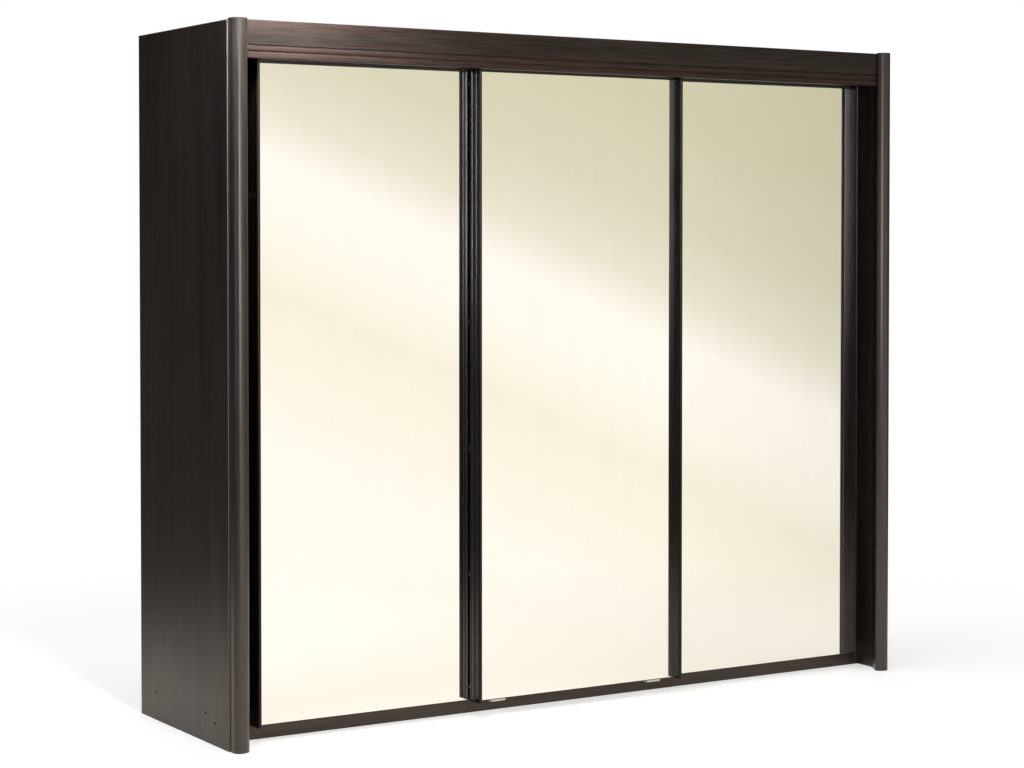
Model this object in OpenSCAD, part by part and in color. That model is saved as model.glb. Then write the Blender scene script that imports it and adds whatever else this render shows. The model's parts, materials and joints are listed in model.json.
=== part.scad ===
// Sliding door wardrobe with three mirror doors on two planes, in millimetres.
// X runs across the front, Y runs to the back, Z is up.
// The origin is on the floor, in the middle of the wardrobe's footprint.

/* [Cabinet] */
// Overall width across the two side panels
cabinet_w = 2300; // [2290:2:2330]
// Overall height, to the top of the front posts
cabinet_h = 1970; // [1965:1:2000]
// Overall depth, from the front of the posts to the back edges
cabinet_d = 640; // [600:5:700]
// Thickness of the side, top, bottom and shelf boards
board_t = 16; // [15:1:18]
// Distance that the front posts stand in front of the side panels
post_proud = 40; // [36:1:44]
// Width of a front post, seen from the front
post_w = 49; // [46:1:54]
// Height of the cornice board between the posts
cornice_h = 103; // [98:1:110]
// Thickness of the cornice board
cornice_t = 18; // [16:1:20]

/* [Inside] */
// Height of the plinth under the bottom board
plinth_h = 72; // [70:1:78]
// Distance from the side panels' front edges back to the inner boards
carcase_set_back = 105; // [105:1:130]
// Distance of each partition's middle from the centre
partition_x = 354; // [340:2:370]
// Height of the middle of the two hat shelves
hat_shelf_z = 1502; // [1400:2:1600]
// Outer diameter of a hanging rail
rail_d = 25; // [20:1:30]
// Distance of a hanging rail's middle below the hat shelf's middle
rail_drop = 62; // [50:1:90]
// Thickness of the back sheets
back_t = 3; // [3:0.5:4]

/* [Doors] */
// Width of one door
door_w = 720; // [716:1:726]
// Overlap of the middle door with each outer door, when they are shut
door_overlap = 6; // [4:1:20]
// Distance that the left door stands open
left_door_open = 28; // [0:1:40]
// Height of the doors' lower edges above the floor
door_z0 = 45; // [44:1:48]
// Height of the doors' upper edges, behind the cornice
door_z1 = 1880; // [1870:1:1884]
// Height of the mirrors' upper edges
mirror_z1 = 1860; // [1850:1:1862]
// Distance of the middle mirror behind the side panels' front edges
front_plane = 37; // [36:1:38]
// Distance between the middle and the outer mirrors
plane_step = 28; // [26:1:28]
// Thickness of a mirror
mirror_t = 4; // [3:1:5]
// Thickness of the board behind a mirror
door_board_t = 16; // [14:1:16]

/* [Handle strips] */
// Thickness of a handle strip's grip
grip_t = 12; // [10:1:14]
// Distance that a grip stands in front of its mirror
grip_proud = 31; // [28:1:32]
// Pitch of the screws that hold a handle strip
strip_screw_pitch = 366; // [340:2:370]

/* [Rollers and tracks] */
// Diameter of a door roller
roller_d = 24; // [20:1:24]
// Width of one roller
roller_w = 6; // [5:0.5:6]
// Diameter of a roller's axle
axle_d = 6; // [5:0.5:7]
// Distance of each hanger from its door's middle
hanger_dx = 270; // [240:2:290]
// Distance of each bottom shoe from the middle door's middle
shoe_dx = 276; // [250:2:300]

/* [Hidden] */

$fn = 32;
fit = 0.3;                // gap between pieces that sit in each other
post_step = 3;            // step from a side panel's face in to its post's
post_inner_y = -25;       // front of a post's inner side, from the side panel's front edge
turning_fit = 0.05;       // radial gap of a roller on its axle
panel_h = cabinet_h - 4;  // the posts end a little above the side panels
half_w = cabinet_w / 2;
inner_x = half_w - board_t;
cornice_top = cabinet_h - 2;
cornice_z0 = cornice_top - cornice_h;
top_panel_z = cabinet_h - 42;
bottom_top = plinth_h + board_t;
rail_z = hat_shelf_z - rail_drop;

// Y of a point at the given distance behind the side panels' front edges
function y_at(behind) = -cabinet_d / 2 + post_proud + behind;
function arc(cx, cy, r, from, to, steps) =
    [for (i = [0:steps]) let (a = from + (to - from) * i / steps) [cx + r * cos(a), cy + r * sin(a)]];

back_y = cabinet_d / 2;
carcase_y = y_at(carcase_set_back);
sheet_y = back_y - 6;               // the back sheets lie in 6 mm rebates
cornice_back = y_at(4);
rail_y = y_at(350);

// Door planes and places
middle_face = y_at(front_plane);
outer_face = middle_face + plane_step;
door_pitch = door_w - door_overlap;
strip_web = 2;                      // outer wall of a handle strip, beside the door board
sandwich_t = mirror_t + door_board_t;
flange_t = 1.7;                     // rear flange of a handle strip
strip_back = sandwich_t + fit + flange_t;

// Tracks: one channel over the middle of each door board
channel_w = 22;
channel_slot = 7;
track_wall = 2;
track_z1 = top_panel_z;
track_z0 = track_z1 - 32;
lip_top = track_z0 + track_wall;
axle_z = lip_top + fit + roller_d / 2;
stem_t = 3;
roller_gap = 0.8;                   // between a roller and its hanger's stem
middle_channel_y = middle_face + mirror_t + door_board_t / 2;
outer_channel_y = middle_channel_y + plane_step;

// Bottom guide rail, in front of the plinth
guide_y0 = carcase_y - 17;
guide_z0 = 48;
guide_z1 = 76;
groove_y = guide_y0 + 6;
groove_w = 5;
fin_t = 3;

// Fixings: distance behind the panel's front edge and height of each screw
screw_at = [[469, top_panel_z + board_t / 2], [112, top_panel_z + board_t / 2], [347, hat_shelf_z],
            [492, plinth_h + board_t / 2], [151, plinth_h + board_t / 2]];
rail_screw_at = [carcase_set_back - 14, 62];
screw_d = 5;
rail_screw_d = 3;
head_d = 8;
head_h = 2.4;
sink_d = 8.4;
sink_depth = 5;

// Middle bay: four shelves at even heights
shelf_gap = (top_panel_z - bottom_top - 4 * board_t) / 5;
function shelf_z(i) = bottom_top + i * shelf_gap + (i - 1) * board_t;
shelf_front = carcase_y + 8;
pin_d = 5;
pin_out = 8;
pin_inset = 45;

wenge = "#3a312c";
wenge_light = "#4a403a";
hardboard = "#6b4f38";
steel = "#b8bcc0";
silver = "#dfe6ea";
nylon = "#d8d4c6";

module slab(x0, x1, y0, y1, z0, z1) {
    translate([x0, y0, z0]) cube([x1 - x0, y1 - y0, z1 - z0]);
}

// A straight peg along X, from x0 to x1
module peg_x(x0, x1, y, z, d) {
    translate([x0, y, z]) rotate([0, 90, 0]) cylinder(d = d, h = x1 - x0);
}

// A straight peg along Y, from y0 to y1
module peg_y(x, y0, y1, z, d) {
    translate([x, y0, z]) rotate([-90, 0, 0]) cylinder(d = d, h = y1 - y0);
}

// Everything drawn for the left is mirrored to the right
module on_side(side) {
    if (side < 0) children();
    else mirror([1, 0, 0]) children();
}

// ---- Carcase ----

module side_panel(side) {
    color(wenge) on_side(side) difference() {
        slab(-half_w, -inner_x, y_at(0), back_y, 0, panel_h);
        slab(-inner_x - 8, -inner_x + 1, sheet_y, back_y + 1, plinth_h, top_panel_z + board_t);
        for (s = screw_at) {
            peg_x(-half_w - 1, -inner_x + 1, y_at(s[0]), s[1], screw_d + 0.2);
            peg_x(-half_w - 1, -half_w + sink_depth, y_at(s[0]), s[1], sink_d);
        }
        peg_x(-half_w - 1, -inner_x + 1, y_at(rail_screw_at[0]), rail_screw_at[1], rail_screw_d + 0.2);
        peg_x(-half_w - 1, -half_w + sink_depth, y_at(rail_screw_at[0]), rail_screw_at[1], sink_d);
    }
}

// Moulded post: a round outer corner, a crowned face and a back that wraps the panel's edge
module front_post(side) {
    nose_r = 20;
    nose_x = post_step + nose_r;
    crown_run = post_w - nose_x;
    crown_rise = post_proud + post_inner_y;
    crown_r = (crown_run * crown_run + crown_rise * crown_rise) / (2 * crown_rise);
    crown_end = 270 + asin(crown_run / crown_r);
    outline = concat(
        [[post_step, 0]],
        arc(nose_x, nose_r - post_proud, nose_r, 180, 270, 8),
        arc(nose_x, crown_r - post_proud, crown_r, 272, crown_end, 10),
        [[post_w, post_inner_y + 3], [post_w - 9, -6], [board_t, 33], [board_t, 0]]
    );
    color(wenge_light) on_side(side)
        translate([-half_w, y_at(0), 0]) linear_extrude(height = cabinet_h) polygon(outline);
}

// Cornice: a slightly bulging main band over two grooves
module cornice_board() {
    face = -cornice_t + 4;
    bulge = 4;
    band = 66;
    outline = concat(
        [[4, 0], [4, cornice_h], [face, cornice_h]],
        [for (i = [1:9]) [face - bulge * sin(18 * i), cornice_h - band * i / 10]],
        [[face, cornice_h - band], [face + 3, cornice_h - band - 2.5], [face, cornice_h - band - 5],
         [face - 1, 26], [face, 21], [face + 3, 17.5], [face, 14],
         [face - 0.5, 8], [face, 2], [face + 2, 0]]
    );
    color(wenge_light) difference() {
        translate([-half_w + board_t, y_at(0), cornice_z0])
            rotate([90, 0, 90]) linear_extrude(height = 2 * inner_x) polygon(outline);
        for (side = [-1, 1]) on_side(side) post_space(cornice_z0 - 1, cornice_top + 1);
    }
}

// Space of a post's inner side, which the cornice's ends and the top panel's corners are cut to meet
module post_space(z0, z1) {
    outline = [[0, -60], [post_w, -60], [post_w, post_inner_y + 3], [post_w - 9, -6], [board_t, 33], [0, 33]];
    translate([-half_w, y_at(0), z0]) linear_extrude(height = z1 - z0) polygon(outline);
}

module top_panel() {
    color(wenge) difference() {
        slab(-inner_x, inner_x, cornice_back, sheet_y, top_panel_z, top_panel_z + board_t);
        for (side = [-1, 1]) on_side(side) post_space(top_panel_z - 1, top_panel_z + board_t + 1);
    }
}

module bottom_panel() {
    color(wenge) slab(-inner_x, inner_x, carcase_y, sheet_y, plinth_h, bottom_top);
}

module front_plinth() {
    color(wenge) slab(-inner_x, inner_x, carcase_y, carcase_y + board_t, 0, plinth_h);
}

module rear_plinth() {
    color(wenge) slab(-inner_x, inner_x, back_y - 60, back_y - 60 + board_t, 0, plinth_h);
}

// Rows of pins: under each middle shelf, and under the hat shelf on its outer side
module pin_row(x0, x1, z, d) {
    for (y = [shelf_front + pin_inset, sheet_y - pin_inset]) peg_x(x0, x1, y, z, d);
}

module partition(side) {
    inward = partition_x - board_t / 2;
    outward = partition_x + board_t / 2;
    color(wenge) on_side(side) difference() {
        slab(-outward, -inward, carcase_y, sheet_y, bottom_top, top_panel_z);
        for (i = [1:4]) pin_row(-inward - pin_out, -inward + 1, shelf_z(i) - pin_d / 2, pin_d + 0.1);
        pin_row(-outward - 1, -outward + pin_out, hat_shelf_z - board_t / 2 - pin_d / 2, pin_d + 0.1);
    }
}

module shelf_pins() {
    inward = partition_x - board_t / 2;
    outward = partition_x + board_t / 2;
    color(steel) for (side = [-1, 1]) on_side(side) {
        for (i = [1:4])
            pin_row(-inward - pin_out + 0.5, -inward + pin_out, shelf_z(i) - pin_d / 2, pin_d);
        pin_row(-outward - pin_out, -outward + pin_out - 0.5, hat_shelf_z - board_t / 2 - pin_d / 2, pin_d);
    }
}

module top_shelf(side) {
    color(wenge) on_side(side)
        slab(-inner_x, -partition_x - board_t / 2, shelf_front, sheet_y,
             hat_shelf_z - board_t / 2, hat_shelf_z + board_t / 2);
}

module middle_shelf(i) {
    reach = partition_x - board_t / 2 - 0.5;
    color(wenge) slab(-reach, reach, shelf_front, sheet_y - 1, shelf_z(i), shelf_z(i) + board_t);
}

module back_panel(x0, x1) {
    color(hardboard) slab(x0, x1, sheet_y, sheet_y + back_t, plinth_h, top_panel_z + board_t);
}

module nail(x, z) {
    peg_y(x, sheet_y - 12, sheet_y + back_t + 0.1, z, 1.6);
    peg_y(x, sheet_y + back_t, sheet_y + back_t + 0.8, z, 5);
}

module back_nails() {
    nail_pitch = (top_panel_z - plinth_h) / 6;
    color(steel) for (side = [-1, 1]) {
        for (i = [0.5:1:5.5]) {
            nail(side * (inner_x + 4), plinth_h + board_t / 2 + i * nail_pitch);
            nail(side * (partition_x - 4), plinth_h + board_t / 2 + i * nail_pitch);
            nail(side * (partition_x + 4), plinth_h + board_t / 2 + (i + 0.1) * nail_pitch);
        }
        for (x = [120:240:1080], z = [plinth_h, top_panel_z]) nail(side * x, z + board_t / 2);
    }
}

module hanging_rail(side) {
    x0 = -inner_x + 1;
    x1 = -partition_x - board_t / 2 - 1;
    color(silver) on_side(side) difference() {
        peg_x(x0, x1, rail_y, rail_z, rail_d);
        peg_x(x0 - 1, x1 + 1, rail_y, rail_z, rail_d - 3);
    }
}

// Cup that holds one end of a hanging rail; out is the way the cup opens
module rail_socket(x, out) {
    cup = 12;
    translate([x, rail_y, rail_z]) rotate([0, 90 * out, 0]) difference() {
        union() {
            cylinder(d = rail_d + 16, h = 0.9);
            cylinder(d = rail_d + 6, h = cup);
        }
        translate([0, 0, 0.9]) cylinder(d = rail_d + 0.1, h = cup);
    }
}

module rail_sockets() {
    color(steel) for (side = [-1, 1]) on_side(side) {
        rail_socket(-inner_x, 1);
        rail_socket(-partition_x - board_t / 2, -1);
    }
}

// ---- Tracks and fixings ----

module track_channel(y) {
    slab(-inner_x - 1, inner_x + 1, y - channel_w / 2, y + channel_w / 2, lip_top, track_z1 - track_wall);
    slab(-inner_x - 1, inner_x + 1, y - channel_slot / 2, y + channel_slot / 2, track_z0 - 1,
         track_z1 - track_wall);
}

// Double running track: the middle door hangs in the front channel, the outer doors in the rear one
module top_track() {
    color(steel) difference() {
        slab(-inner_x, inner_x, middle_channel_y - channel_w / 2 - track_wall,
             outer_channel_y + channel_w / 2 + track_wall, track_z0, track_z1);
        track_channel(middle_channel_y);
        track_channel(outer_channel_y);
    }
}

// Guide rail: the outer doors' fins run in the upper groove, the middle door's in the lower one
module bottom_guide_rail() {
    web = 2;
    web_z = guide_z0 + 12;
    color(wenge) difference() {
        slab(-inner_x, inner_x, guide_y0, carcase_y, guide_z0, guide_z1);
        slab(-inner_x - 1, inner_x + 1, groove_y, groove_y + groove_w, web_z + web, guide_z1 + 1);
        slab(-inner_x - 1, inner_x + 1, groove_y, groove_y + groove_w, guide_z0 - 1, web_z);
    }
}

// Rubber stops in the rear channel, just outside the outer doors' rollers when the doors are shut
module track_stops() {
    stop_l = 20;
    x1 = -door_pitch - hanger_dx - roller_d / 2 - 1;
    color("#222222") for (side = [-1, 1]) on_side(side)
        slab(x1 - stop_l, x1, outer_channel_y - channel_w / 2 + fit, outer_channel_y + channel_w / 2 - fit,
             lip_top, track_z1 - track_wall - 4);
}

module panel_screw(behind, z, d, length) {
    head_x = -half_w + sink_depth;
    peg_x(head_x - head_h, head_x, y_at(behind), z, head_d);
    peg_x(head_x - 0.1, head_x + length, y_at(behind), z, d);
}

module panel_screws() {
    color(steel) for (side = [-1, 1]) on_side(side) {
        for (s = screw_at) panel_screw(s[0], s[1], screw_d, 45);
        panel_screw(rail_screw_at[0], rail_screw_at[1], rail_screw_d, 30);
    }
}

// Push-in caps over the two upper screws on each side
module screw_caps() {
    color("#7a6d60") for (side = [-1, 1], i = [0, 1]) on_side(side)
        peg_x(-half_w, -half_w + 2.2, y_at(screw_at[i][0]), screw_at[i][1], sink_d - 0.2);
}

module cornice_brackets() {
    leg = 28;
    metal = 2;
    top = top_panel_z + board_t;
    color(steel) for (x = [-900:600:900]) {
        slab(x - 15, x + 15, cornice_back, cornice_back + leg, top, top + metal);
        slab(x - 15, x + 15, cornice_back, cornice_back + metal, top, top + leg * 0.7);
    }
}

// ---- Doors ----
// cx is the door's middle, face is its mirror's front, and wraps says which edges carry a strip.

function inset_left(wraps) = wraps[0] ? strip_web + fit : 0;
function inset_right(wraps) = wraps[1] ? strip_web + fit : 0;

module door_sheet(cx, wraps, y0, y1, z0, z1) {
    slab(cx - door_w / 2 + inset_left(wraps), cx + door_w / 2 - inset_right(wraps), y0, y1, z0, z1);
}

module door_board(cx, face, wraps) {
    color(wenge) door_sheet(cx, wraps, face + mirror_t, face + sandwich_t, door_z0, door_z1);
}

module door_mirror(cx, face, wraps) {
    color(silver) door_sheet(cx, wraps, face, face + mirror_t, door_z0 + 2, mirror_z1);
}

module top_strip(cx, face, wraps) {
    color(wenge) door_sheet(cx, wraps, face, face + mirror_t, mirror_z1 + fit, door_z1);
}

// Handle strip: a round-nosed grip in front of the mirror and a channel round the door's edge
module handle_strip(edge_x, face, side) {
    nose_r = grip_t / 2;
    nose_y = nose_r - grip_proud;
    outline = concat(
        [[0, strip_back], [0, 12], [0.8, 11], [0, 10], [0, -5], [2.5, -9], [0, -13]],
        arc(nose_r, nose_y, nose_r, 180, 360, 12),
        [[grip_t, -fit], [strip_web, -fit], [strip_web, sandwich_t + fit], [18, sandwich_t + fit],
         [18, strip_back]]
    );
    color(wenge_light) translate([edge_x, face, door_z0]) on_side(side)
        linear_extrude(height = door_z1 - door_z0) polygon(outline);
}

function strip_screw_z(i) = door_z0 + (i == 0 ? 39 : i == 5 ? door_z1 - door_z0 - 55 : i * strip_screw_pitch);

module strip_screws(edge_x, face, side) {
    x = edge_x - side * 7.5;
    back = face + strip_back;
    color(silver) for (i = [0:5]) {
        peg_y(x, back, back + 1.8, strip_screw_z(i), 7);
        peg_y(x, back - 13, back + 0.1, strip_screw_z(i), 3.5);
    }
}

module hanger(x, channel_y) {
    foot_z = door_z1;
    foot_t = 2.5;
    reach = roller_w + roller_gap + stem_t / 2;
    slab(x - 35, x + 35, channel_y - 6, channel_y + 6, foot_z, foot_z + foot_t);
    slab(x - 10, x + 10, channel_y - stem_t / 2, channel_y + stem_t / 2, foot_z + foot_t, axle_z);
    peg_y(x, channel_y - stem_t / 2, channel_y + stem_t / 2, axle_z, 20);
    peg_y(x, channel_y - reach, channel_y + reach, axle_z, axle_d);
}

module hangers(cx, channel_y) {
    color(steel) for (side = [-1, 1]) hanger(cx + side * hanger_dx, channel_y);
}

// Two rollers on one axle, one on each side of the hanger's stem
module rollers(x, channel_y) {
    start = stem_t / 2 + roller_gap;
    color(nylon) for (y = [channel_y - start - roller_w, channel_y + start]) difference() {
        peg_y(x, y, y + roller_w, axle_z, roller_d);
        peg_y(x, y - 1, y + roller_w + 1, axle_z, axle_d + 2 * turning_fit);
    }
}

fin_y = groove_y + (groove_w - fin_t) / 2;

// Bracket on the back of an outer door, whose fin hangs in the guide rail's upper groove
module outer_guide(x) {
    back = outer_face + sandwich_t;
    slab(x - 20, x + 20, back, back + 2.5, 82, 125);
    slab(x - 20, x + 20, back, fin_y + fin_t, 79.5, 82);
    slab(x - 20, x + 20, fin_y, fin_y + fin_t, 64, 79.5);
}

module outer_guides(cx) {
    color(nylon) for (side = [-1, 1]) outer_guide(cx + side * 300);
}

// Shoe under the middle door; its arm passes below the outer doors to the guide rail's lower groove
module shoe(x) {
    sole_z = 39;
    arm_top = door_z0 - 2.5;
    slab(x - 24, x + 24, middle_face + 1, middle_face + sandwich_t, sole_z, door_z0);
    slab(x - 15, x + 15, middle_face + sandwich_t, fin_y + fin_t, sole_z, arm_top);
    slab(x - 15, x + 15, fin_y, fin_y + fin_t, arm_top, guide_z0 + 10);
}

module middle_shoes() {
    color(nylon) for (side = [-1, 1]) shoe(side * shoe_dx);
}

left_x = left_door_open - door_pitch;
right_x = door_pitch;
half_door = door_w / 2;
left_wraps = [true, false];
middle_wraps = [true, true];
right_wraps = [false, true];

side_panel(-1);  // left_side_panel
side_panel(1);  // right_side_panel
front_post(-1);  // left_front_post
front_post(1);  // right_front_post
cornice_board();
top_panel();
bottom_panel();
front_plinth();
rear_plinth();
partition(-1);  // left_partition
partition(1);  // right_partition
back_panel(-inner_x - 7.5, -partition_x - 0.2);  // back_panel_left
back_panel(-partition_x + 0.2, partition_x - 0.2);  // back_panel_middle
back_panel(partition_x + 0.2, inner_x + 7.5);  // back_panel_right
back_nails();
top_shelf(-1);  // left_top_shelf
top_shelf(1);  // right_top_shelf
middle_shelf(1);  // middle_shelf_1
middle_shelf(2);  // middle_shelf_2
middle_shelf(3);  // middle_shelf_3
middle_shelf(4);  // middle_shelf_4
hanging_rail(-1);  // left_hanging_rail
hanging_rail(1);  // right_hanging_rail
rail_sockets();
shelf_pins();
top_track();
bottom_guide_rail();
track_stops();
panel_screws();
screw_caps();
cornice_brackets();
door_board(left_x, outer_face, left_wraps);  // left_door_board
door_mirror(left_x, outer_face, left_wraps);  // left_mirror
handle_strip(left_x - half_door, outer_face, -1);  // left_handle_strip
top_strip(left_x, outer_face, left_wraps);  // left_top_strip
hangers(left_x, outer_channel_y);  // left_hangers
rollers(left_x - hanger_dx, outer_channel_y);  // left_outer_rollers
rollers(left_x + hanger_dx, outer_channel_y);  // left_inner_rollers
outer_guides(left_x);  // left_guides
strip_screws(left_x - half_door, outer_face, -1);  // left_strip_screws
door_board(0, middle_face, middle_wraps);  // middle_door_board
door_mirror(0, middle_face, middle_wraps);  // middle_mirror
handle_strip(-half_door, middle_face, -1);  // middle_left_handle_strip
handle_strip(half_door, middle_face, 1);  // middle_right_handle_strip
top_strip(0, middle_face, middle_wraps);  // middle_top_strip
hangers(0, middle_channel_y);  // middle_hangers
rollers(-hanger_dx, middle_channel_y);  // middle_left_rollers
rollers(hanger_dx, middle_channel_y);  // middle_right_rollers
middle_shoes();
union() {  // middle_strip_screws
    strip_screws(-half_door, middle_face, -1);
    strip_screws(half_door, middle_face, 1);
}
door_board(right_x, outer_face, right_wraps);  // right_door_board
door_mirror(right_x, outer_face, right_wraps);  // right_mirror
handle_strip(right_x + half_door, outer_face, 1);  // right_handle_strip
top_strip(right_x, outer_face, right_wraps);  // right_top_strip
hangers(right_x, outer_channel_y);  // right_hangers
rollers(right_x - hanger_dx, outer_channel_y);  // right_inner_rollers
rollers(right_x + hanger_dx, outer_channel_y);  // right_outer_rollers
outer_guides(right_x);  // right_guides
strip_screws(right_x + half_door, outer_face, 1);  // right_strip_screws
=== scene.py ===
import json
import math

import bmesh
import bpy
from mathutils import Matrix, Vector


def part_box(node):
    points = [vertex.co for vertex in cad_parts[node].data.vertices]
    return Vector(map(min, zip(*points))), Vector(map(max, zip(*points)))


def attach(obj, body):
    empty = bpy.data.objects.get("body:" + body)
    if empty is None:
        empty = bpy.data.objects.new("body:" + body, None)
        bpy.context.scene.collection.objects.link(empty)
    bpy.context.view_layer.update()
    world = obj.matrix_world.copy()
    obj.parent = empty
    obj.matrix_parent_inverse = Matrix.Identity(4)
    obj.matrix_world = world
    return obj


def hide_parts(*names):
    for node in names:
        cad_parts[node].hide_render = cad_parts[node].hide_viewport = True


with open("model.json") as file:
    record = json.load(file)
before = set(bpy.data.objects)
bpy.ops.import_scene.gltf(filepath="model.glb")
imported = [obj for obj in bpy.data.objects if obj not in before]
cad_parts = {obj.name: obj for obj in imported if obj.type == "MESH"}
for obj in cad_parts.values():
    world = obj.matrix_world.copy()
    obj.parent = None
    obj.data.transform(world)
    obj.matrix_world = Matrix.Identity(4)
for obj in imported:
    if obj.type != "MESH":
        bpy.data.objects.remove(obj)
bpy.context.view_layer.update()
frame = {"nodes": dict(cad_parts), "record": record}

MM = 0.001
NODE_BODY = {n: b for b, ns in frame["record"]["behaviour"]["bodies"].items() for n in ns}


# ---- Colours and node trees ----


def srgb(r, g, b):
    """A linear colour from 0 to 255 display values."""
    return tuple(
        c / 12.92 if c <= 0.04045 else ((c + 0.055) / 1.055) ** 2.4
        for c in (r / 255, g / 255, b / 255)
    ) + (1.0,)


def add(tree, kind, inputs=None, **settings):
    """A shader node with its settings, and its inputs as links or values."""
    node = tree.nodes.new("ShaderNode" + kind)
    for key, value in settings.items():
        setattr(node, key, value)
    for key, value in (inputs or {}).items():
        if isinstance(value, bpy.types.NodeSocket):
            tree.links.new(value, node.inputs[key])
        else:
            node.inputs[key].default_value = value
    return node


def ramp(tree, value, stops):
    """The colour of a ramp whose stops are (place, colour), read at value."""
    node = add(tree, "ValToRGB", {"Fac": value})
    elements = node.color_ramp.elements
    while len(elements) < len(stops):
        elements.new(0.5)
    for element, (place, colour) in zip(elements, stops):
        element.position = place
        element.color = colour if len(colour) == 4 else (*colour, 1.0)
    return node.outputs["Color"]


def grey(level):
    return (level, level, level, 1.0)


def shift_noise(tree, scale, stretch, seed, detail=4.0, rough=0.55, distortion=0.0):
    """A noise value in object space, drawn out along the axes by stretch and moved by seed."""
    place = add(tree, "TexCoord").outputs["Object"]
    moved = add(
        tree,
        "Mapping",
        {"Vector": place, "Location": (seed * 1.37, seed * 0.71, seed * 2.3), "Scale": stretch},
    )
    return add(
        tree,
        "TexNoise",
        {
            "Vector": moved.outputs["Vector"],
            "Scale": scale,
            "Detail": detail,
            "Roughness": rough,
            "Distortion": distortion,
        },
    ).outputs["Fac"]


def new_material(name):
    """A material with its node tree and its main shader."""
    material = bpy.data.materials.new(name)
    material.use_nodes = True
    shader = material.node_tree.nodes["Principled BSDF"]
    return material, material.node_tree, shader


def span(tree, value, low, high):
    """value, from 0 to 1, turned into a number from low to high."""
    node = add(tree, "MapRange", {"Value": value, "To Min": low, "To Max": high})
    return node.outputs["Result"]


def bump(tree, shader, height, strength, distance):
    node = add(
        tree, "Bump", {"Height": height, "Strength": strength, "Distance": distance}
    )
    tree.links.new(node.outputs["Normal"], shader.inputs["Normal"])


def blend_colours(tree, factor, a, b, mode="MIX"):
    node = add(tree, "Mix", data_type="RGBA", blend_type=mode)
    for socket, value in ((node.inputs[0], factor), (node.inputs[6], a), (node.inputs[7], b)):
        if isinstance(value, bpy.types.NodeSocket):
            tree.links.new(value, socket)
        else:
            socket.default_value = value
    return node.outputs[2]


# How far the grain and the pores are drawn out along each axis.
STRETCH = {"x": (0.045, 1.0, 1.0), "y": (1.0, 0.045, 1.0), "z": (1.0, 1.0, 0.045)}
FINE_STRETCH = {"x": (0.02, 1.0, 1.0), "y": (1.0, 0.02, 1.0), "z": (1.0, 1.0, 0.02)}


def wenge(name, axis, seed, light=1.0, gloss=0.36, warm=0.5, contrast=0.45, shine=0.5):
    """Dark wenge laminate: long wavy streaks, fine pores, faint smears in the gloss."""
    material, tree, shader = new_material(name)
    streaks = shift_noise(tree, 30.0, STRETCH[axis], seed, 5.0, 0.62, 0.35)
    drift = shift_noise(tree, 7.0, STRETCH[axis], seed + 3.1, 2.0, 0.5, 0.2)
    pores = shift_noise(tree, 420.0, FINE_STRETCH[axis], seed + 5.7, 2.0, 0.5)
    smears = shift_noise(tree, 9.0, (1.0, 1.0, 0.5), seed + 8.3, 3.0, 0.6)
    dark = tuple(light * c for c in (0.017, 0.0145, 0.012))
    brown = tuple(light * c for c in (0.050 + 0.008 * warm, 0.037, 0.030))
    olive = tuple(light * c for c in (0.036, 0.032 - 0.001 * warm, 0.025 + 0.0015 * warm))
    tone = ramp(tree, drift, [(0.35, olive), (0.62, brown)])
    stops = [(0.30, grey(contrast)), (0.5, grey(0.85)), (0.72, grey(1.2))]
    grain = ramp(tree, streaks, stops)
    body = blend_colours(tree, 1.0, tone, grain, "MULTIPLY")
    body = blend_colours(tree, 0.12, body, (*dark, 1.0))
    pore_mask = ramp(tree, pores, [(0.40, grey(0.55)), (0.52, grey(1.0))])
    coloured = blend_colours(tree, 1.0, body, pore_mask, "MULTIPLY")
    tree.links.new(coloured, shader.inputs["Base Color"])
    tree.links.new(span(tree, smears, gloss - 0.05, gloss + 0.09), shader.inputs["Roughness"])
    shader.inputs["Specular IOR Level"].default_value = shine
    shader.inputs["Specular Tint"].default_value = (1.0, 0.9, 0.9, 1.0)
    bump(tree, shader, pores, 0.35, 0.00012)
    return material


def metal(name, colour, roughness, stretch, seed=0.0, brushed=600.0, depth=0.00002):
    """A metal with fine drawn lines and patches of duller gloss."""
    material, tree, shader = new_material(name)
    lines = shift_noise(tree, brushed, stretch, seed, 2.0, 0.5)
    patches = shift_noise(tree, 30.0, (1.0, 1.0, 1.0), seed + 2.0, 3.0, 0.6)
    darker = tuple(0.82 * c for c in colour)
    tone = ramp(tree, patches, [(0.35, darker), (0.65, colour)])
    tree.links.new(tone, shader.inputs["Base Color"])
    tree.links.new(span(tree, patches, roughness * 0.8, roughness * 1.4), shader.inputs["Roughness"])
    shader.inputs["Metallic"].default_value = 1.0
    bump(tree, shader, lines, 0.3, depth)
    return material


def moulded(name, colour, roughness, speck=0.1, seed=0.0):
    """Moulded plastic or rubber: a fine grained skin with slight mottling."""
    material, tree, shader = new_material(name)
    skin = shift_noise(tree, 900.0, (1.0, 1.0, 1.0), seed, 2.0, 0.5)
    mottle = shift_noise(tree, 60.0, (1.0, 1.0, 1.0), seed + 1.0, 3.0, 0.6)
    darker = tuple((1 - speck) * c for c in colour)
    tone = ramp(tree, mottle, [(0.35, darker), (0.65, colour)])
    tree.links.new(tone, shader.inputs["Base Color"])
    tree.links.new(span(tree, mottle, roughness - 0.06, roughness + 0.08), shader.inputs["Roughness"])
    bump(tree, shader, skin, 0.25, 0.00005)
    return material


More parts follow.
